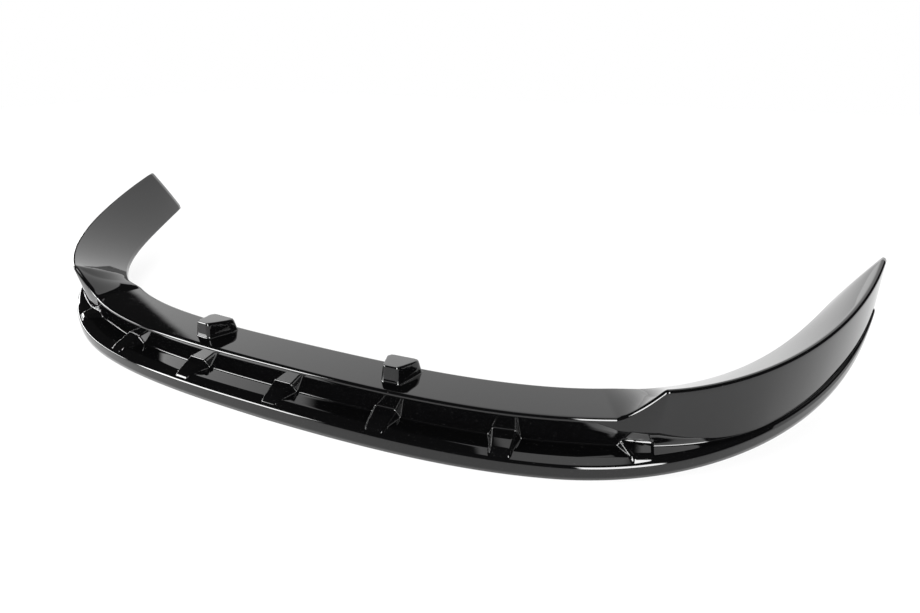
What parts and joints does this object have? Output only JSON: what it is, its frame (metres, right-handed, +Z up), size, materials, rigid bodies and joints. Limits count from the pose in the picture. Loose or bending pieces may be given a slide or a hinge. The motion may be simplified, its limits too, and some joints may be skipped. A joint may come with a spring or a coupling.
{
  "type": "front splitter lip",
  "caption": "Formed plastic splitter lip that wraps round the foot of a car's front bumper, with a leading blade, a ribbed shelf and swept-up wings.",
  "frame": {"origin": "under the middle of the bounding box, at the height of the blade's lowest edge", "axes": "+X across the car along the longest extent, -Y the way the car faces (the blade leads), +Z up"},
  "size_m": [1.7958, 0.6239, 0.232],
  "materials": {
    "lip": "gloss"
  },
  "bodies": {
    "root": {"splitter_lip": "lip"}
  },
  "joints": []
}
